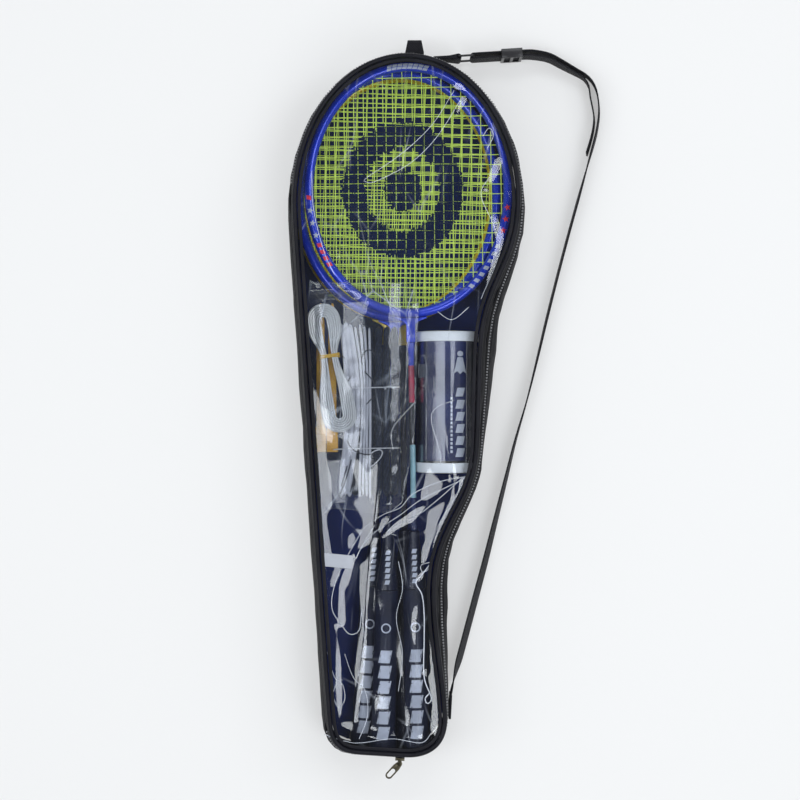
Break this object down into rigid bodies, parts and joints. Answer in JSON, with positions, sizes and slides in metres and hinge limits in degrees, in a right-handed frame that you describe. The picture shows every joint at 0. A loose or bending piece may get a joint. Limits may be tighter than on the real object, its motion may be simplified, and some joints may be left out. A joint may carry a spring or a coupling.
{
  "type": "badminton set in a carry bag",
  "caption": "Racket-shaped carry bag with a clear front and shoulder strap, holding badminton rackets, a folded net with rope and pegs in a film pouch, and a tube of shuttlecocks.",
  "frame": {"origin": "on the face that the bag lies on, under the middle of the bag with its hanging loop and zip puller, the loose strap left out", "axes": "+Z out of the clear front, +Y from the grips to the racket heads, +X to the zip's long side"},
  "size_m": [0.315, 0.7302, 0.0738],
  "materials": {
    "fabric": "dull",
    "lining": "dull",
    "binding": "satin",
    "webbing": "woven",
    "zip_tape": "woven",
    "dark_metal": "antique",
    "strap_plastic": "satin",
    "window_film": "clear",
    "pouch_film": "clear",
    "tube_plastic": "clear",
    "cap_plastic": "satin",
    "blue_paint": "gloss",
    "gold_paint": "gloss",
    "gold_shaft": "gloss",
    "strings": "satin",
    "grip_tape": "dull",
    "cone_plastic": "satin",
    "net_mesh": "dull",
    "net_tape": "dull",
    "rope": "dull",
    "rubber_band": "dull",
    "peg_plastic": "satin",
    "cork": "dull",
    "skirt": "satin",
    "label_cloth": "dull"
  },
  "bodies": {
    "bag": {"back_panel": "lining", "back_piping": "binding", "side_wall": "fabric", "zip_tape_lower": "zip_tape", "hanging_loop": "webbing", "strap_ring": "strap_plastic", "strap_loop": "webbing", "strap_top_tab": "webbing", "shoulder_strap": "webbing", "strap_tail": "webbing", "strap_bottom_tab": "webbing", "tube_wall": "tube_plastic", "tube_bottom_cap": "cap_plastic", "net_bundle": "net_mesh", "net_tape_left": "net_tape", "net_tape_right": "net_tape", "rope_hank": "rope", "hank_band": "rubber_band", "peg_1": "peg_plastic", "peg_2": "peg_plastic", "net_pouch": "pouch_film", "racket_1_rim": "blue_paint", "racket_1_strings": "strings", "racket_1_throat": "blue_paint", "racket_1_shaft": "blue_paint", "racket_1_cone": "cone_plastic", "racket_1_grip": "grip_tape", "racket_2_rim": "blue_paint", "racket_2_strings": "strings", "racket_2_throat": "blue_paint", "racket_2_shaft": "blue_paint", "racket_2_cone": "cone_plastic", "racket_2_grip": "grip_tape", "racket_3_rim": "gold_paint", "racket_3_strings": "strings", "racket_3_throat": "gold_paint", "racket_3_shaft": "gold_shaft", "racket_3_cone": "cone_plastic", "racket_3_grip": "grip_tape", "racket_4_rim": "gold_paint", "racket_4_strings": "strings", "racket_4_throat": "gold_paint", "racket_4_shaft": "gold_shaft", "racket_4_cone": "cone_plastic", "racket_4_grip": "grip_tape", "shuttle_1_cork": "cork", "shuttle_1_skirt": "skirt", "shuttle_2_cork": "cork", "shuttle_2_skirt": "skirt", "shuttle_3_cork": "cork", "shuttle_3_skirt": "skirt"},
    "cover": {"cover_wall": "fabric", "front_piping": "binding", "front_window": "window_film", "zip_tape_upper": "zip_tape", "seam_label": "label_cloth"},
    "zip_slider": {"zip_slider": "dark_metal"},
    "zip_puller": {"zip_puller": "dark_metal"},
    "tube_cap": {"tube_top_cap": "cap_plastic"},
    "strap_slider": {"strap_slider": "strap_plastic"}
  },
  "joints": [
    {"name": "cover_hinge", "type": "hinge", "parent": "bag", "child": "cover", "pos_m": [-0.0974, -0.06161, 0.055], "axis": [0.0687, -0.9976, 0], "range_deg": [0, 150]},
    {"name": "zip_slide", "type": "slide", "parent": "bag", "child": "zip_slider", "axis": [0.9981, -0.0619, 0], "range_m": [-0.034, 0.006]},
    {"name": "puller_swing", "type": "hinge", "parent": "zip_slider", "child": "zip_puller", "pos_m": [-0.00679, -0.35025, 0.055], "axis": [0, 0, 1], "range_deg": [-46, 124]},
    {"name": "tube_cap_slide", "type": "slide", "parent": "bag", "child": "tube_cap", "axis": [0, 1, 0], "range_m": [0, 0.006]},
    {"name": "strap_slide", "type": "slide", "parent": "bag", "child": "strap_slider", "axis": [0.9981, 0.0611, 0], "range_m": [-0.018, 0.001]}
  ]
}
